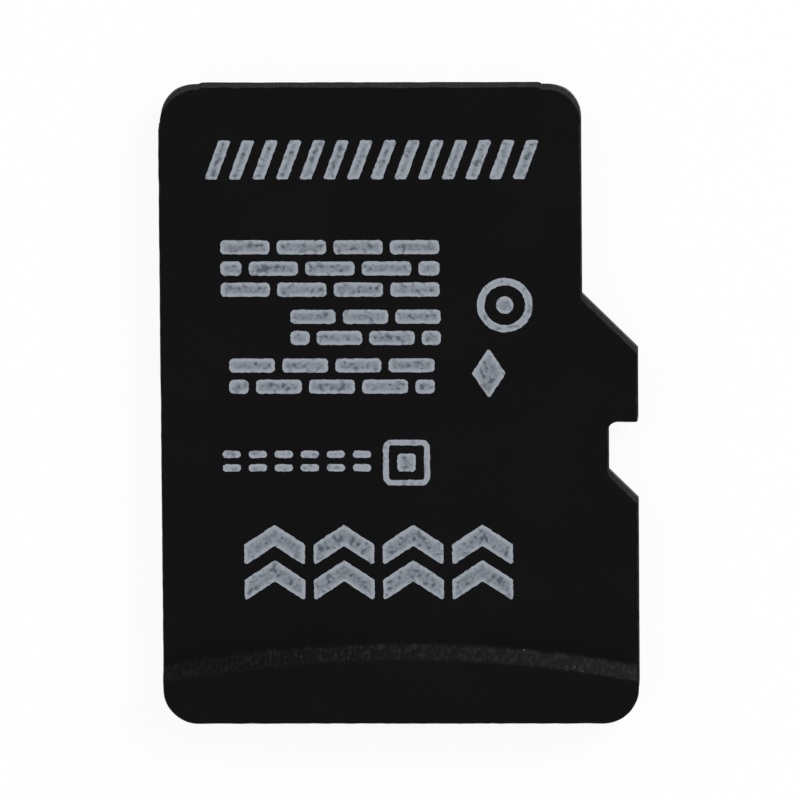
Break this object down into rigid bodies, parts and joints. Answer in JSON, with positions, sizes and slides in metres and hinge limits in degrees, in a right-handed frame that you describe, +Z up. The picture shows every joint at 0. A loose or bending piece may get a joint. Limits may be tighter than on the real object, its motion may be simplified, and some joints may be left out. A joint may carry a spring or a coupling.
{
  "type": "microsd card",
  "caption": "Thin removable memory card with a shouldered, notched side, a raised finger lip on the label face and a row of gold contacts underneath.",
  "frame": {"origin": "centre of the underside's bounding rectangle, on the surface that the card lies on", "axes": "+X towards the side with the shoulder and the notch, +Y towards the contact end that enters the slot first, +Z up, out of the label face"},
  "size_m": [0.011, 0.015, 0.001],
  "materials": {
    "mould": "black epoxy moulding compound, fine matt grain, rougher on the ramp",
    "board": "dark solder mask over glass-epoxy laminate, satin",
    "gold_plating": "hard gold over nickel and copper, satin, lightly wiped",
    "copper": "etched copper, matt",
    "silicon": "ground and polished silicon",
    "film": "amber die-attach adhesive film",
    "gold_wire": "drawn gold wire, bright",
    "ceramic": "fired brown ceramic, satin",
    "tin": "tin plating, satin",
    "solder": "reflowed solder, smooth",
    "ink": "pad-printed blue-grey ink on the label face, matt"
  },
  "bodies": {
    "root": {"moulded_body": "mould", "board": "board", "contact_1": "gold_plating", "contact_2": "gold_plating", "contact_3": "gold_plating", "contact_4": "gold_plating", "contact_5": "gold_plating", "contact_6": "gold_plating", "contact_7": "gold_plating", "contact_8": "gold_plating", "contact_vias": "copper", "contact_traces": "copper", "memory_traces": "copper", "capacitor_pads": "copper", "memory_film_1": "film", "memory_die_1": "silicon", "memory_wires_1": "gold_wire", "memory_film_2": "film", "memory_die_2": "silicon", "memory_wires_2": "gold_wire", "memory_film_3": "film", "memory_die_3": "silicon", "memory_wires_3": "gold_wire", "memory_film_4": "film", "memory_die_4": "silicon", "memory_wires_4": "gold_wire", "controller_film": "film", "controller_die": "silicon", "controller_wires": "gold_wire", "capacitor_block_1": "ceramic", "capacitor_terminals_1": "tin", "capacitor_solder_1": "solder", "capacitor_block_2": "ceramic", "capacitor_terminals_2": "tin", "capacitor_solder_2": "solder", "capacitor_block_3": "ceramic", "capacitor_terminals_3": "tin", "capacitor_solder_3": "solder"}
  },
  "joints": []
}
